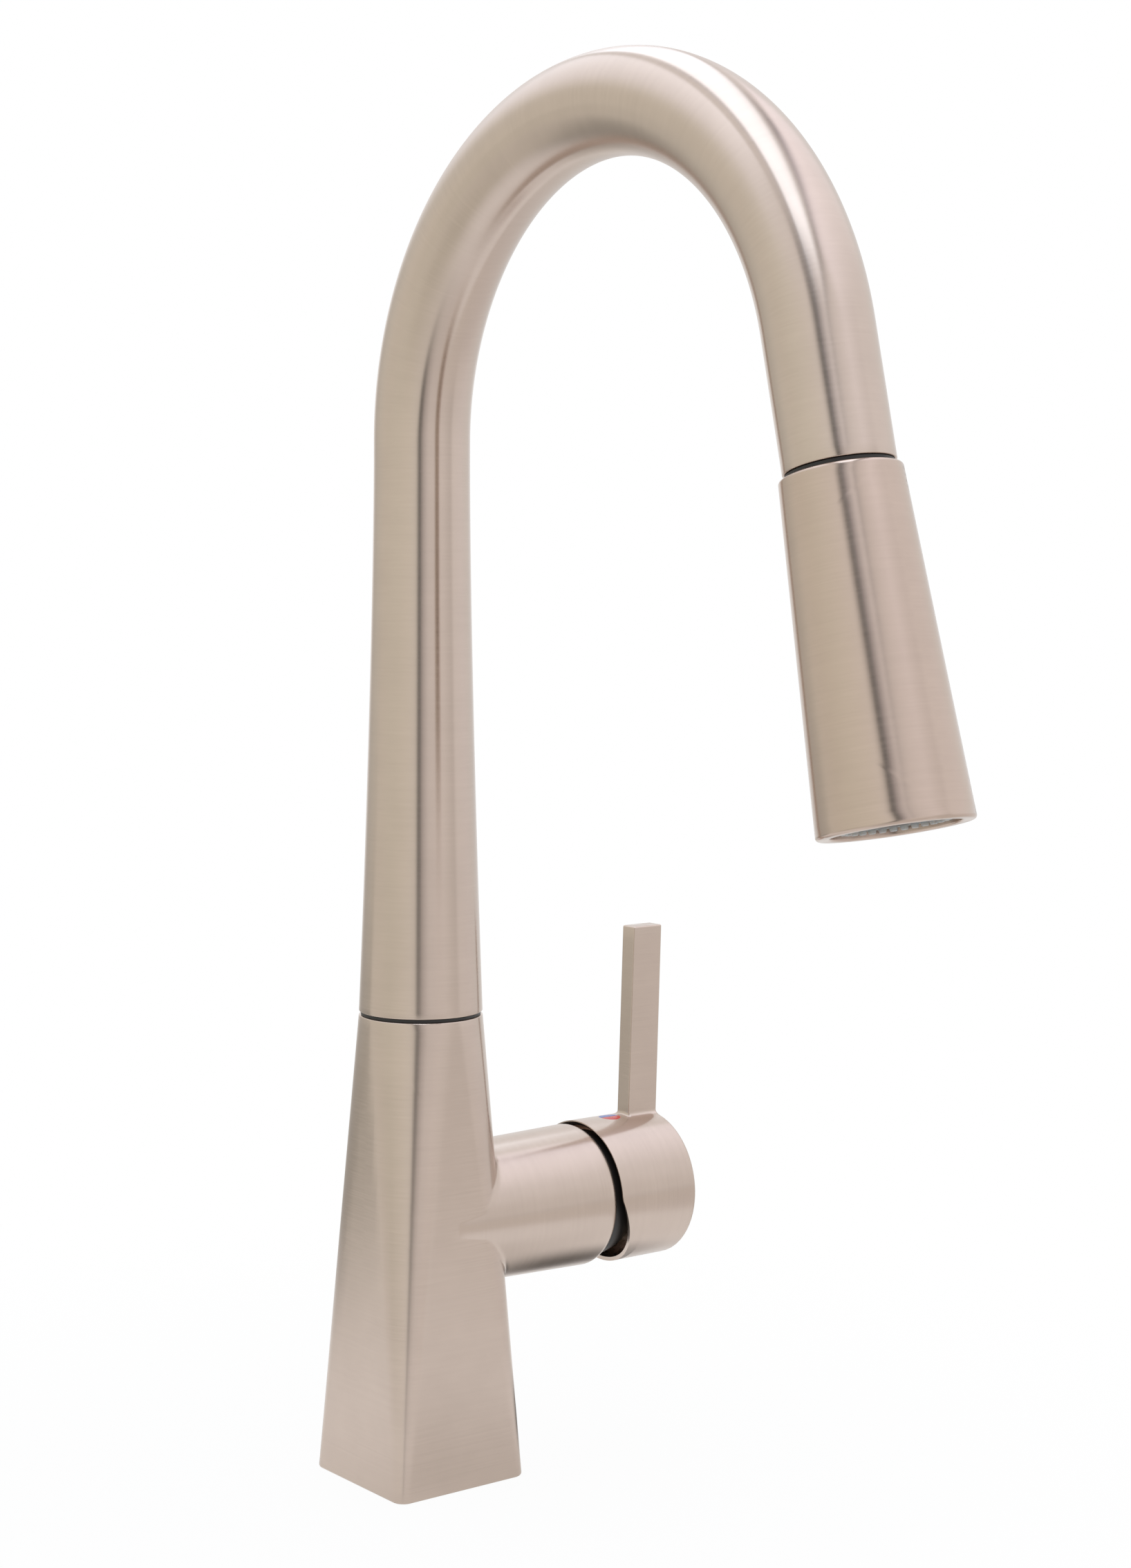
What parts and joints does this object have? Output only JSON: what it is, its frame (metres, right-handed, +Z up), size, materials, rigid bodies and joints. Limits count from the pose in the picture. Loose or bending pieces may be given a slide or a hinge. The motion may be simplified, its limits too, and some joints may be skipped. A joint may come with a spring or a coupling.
{
  "type": "pull down kitchen faucet",
  "caption": "Tall gooseneck kitchen faucet on a square-to-round body, with a side lever on a ceramic cartridge and a docked spray head that pulls down on a hose.",
  "frame": {"origin": "middle of the square foot on the deck plane, on the axis of the body, riser and mounting shank", "axes": "+Z up, the spout reaches towards -Y, the lever stands on the +X side"},
  "size_m": [0.1201, 0.249, 0.5017],
  "materials": {
    "satin_nickel": "satin brushed nickel, warm grey, fine lines round each form",
    "brass": "machined",
    "stainless_steel": "plain",
    "black_plastic": "moulded, matt",
    "white_plastic": "moulded acetal",
    "grey_plastic": "moulded, fine grain",
    "rubber": "moulded",
    "ceramic": "lapped alumina",
    "silicone": "translucent silicone",
    "magnet": "plain",
    "hose_braid": "braided nylon over rubber",
    "index_red": "gloss",
    "index_blue": "gloss"
  },
  "bodies": {
    "root": {"faucet_body": "satin_nickel", "cartridge_seal": "rubber", "cartridge_base": "white_plastic", "fixed_ceramic_disc": "ceramic", "cartridge_housing": "white_plastic", "cartridge_nut": "brass", "cartridge_bonnet": "black_plastic", "swivel_spigot": "brass", "swivel_ring": "black_plastic", "spigot_clip": "stainless_steel", "deck_gasket": "rubber", "mounting_shank": "brass", "rubber_washer": "rubber", "metal_washer": "stainless_steel", "mounting_nut": "brass", "jack_screw_1": "stainless_steel", "jack_screw_2": "stainless_steel", "jack_screw_3": "stainless_steel", "hot_supply_pipe": "brass", "cold_supply_pipe": "brass", "outlet_pipe": "brass", "hot_inlet_nipple": "brass", "cold_inlet_nipple": "brass", "outlet_nipple": "brass"},
    "mixer": {"cartridge_rotor": "grey_plastic", "stem_pin": "stainless_steel"},
    "ceramic_slider": {"moving_ceramic_disc": "ceramic", "disc_carrier": "white_plastic"},
    "lever": {"lever_handle": "satin_nickel", "cartridge_stem": "brass", "stem_set_screw": "stainless_steel", "index_hot": "index_red", "index_cold": "index_blue"},
    "spout": {"spout_tube": "satin_nickel", "lower_bushing": "white_plastic", "upper_bushing": "white_plastic", "dock_insert": "black_plastic", "dock_magnet": "magnet", "spray_hose": "hose_braid", "hose_connector": "brass"},
    "hose_end": {"hose_tail": "hose_braid", "docking_collar": "stainless_steel", "hose_swivel_nut": "brass"},
    "spray_head": {"head_shell": "satin_nickel", "waterway_core": "black_plastic", "spray_face": "grey_plastic", "nozzle_ring": "silicone", "aerator_housing": "black_plastic", "aerator_screen": "stainless_steel"},
    "diverter": {"diverter_button": "black_plastic", "diverter_spool": "white_plastic"}
  },
  "joints": [
    {"name": "spout_swivel", "type": "hinge", "parent": "root", "child": "spout", "pos_m": [0, 0, 0.14218], "axis": [0, 0, 1], "continuous": true},
    {"name": "head_pull", "type": "slide", "parent": "spout", "child": "hose_end", "axis": [0, -0.2397, -0.9708], "range_m": [0, 0.2], "stiffness_N_per_m": 10, "springref_m": -0.7},
    {"name": "head_twist", "type": "hinge", "parent": "hose_end", "child": "spray_head", "pos_m": [0, -0.1805, 0.30174], "axis": [0, -0.2397, -0.9708], "continuous": true},
    {"name": "diverter_push", "type": "slide", "parent": "spray_head", "child": "diverter", "axis": [0, -0.9708, 0.2397], "range_m": [0, 0.0015], "stiffness_N_per_m": 400, "springref_m": -0.0005},
    {"name": "lever_temperature", "type": "hinge", "parent": "root", "child": "mixer", "pos_m": [0.0608, 0, 0.07829], "axis": [1, 0, 0], "range_deg": [-45, 45]},
    {"name": "lever_flow", "type": "hinge", "parent": "mixer", "child": "lever", "pos_m": [0.0608, 0, 0.07829], "axis": [0, 1, 0], "range_deg": [0, 20]},
    {"name": "disc_slide", "type": "slide", "parent": "mixer", "child": "ceramic_slider", "axis": [0, 0, 1], "range_m": [0, 0.0035]}
  ],
  "couplings": [
    {"joint": "disc_slide", "follows": "lever_flow", "m_per_rad": 0.0097}
  ]
}
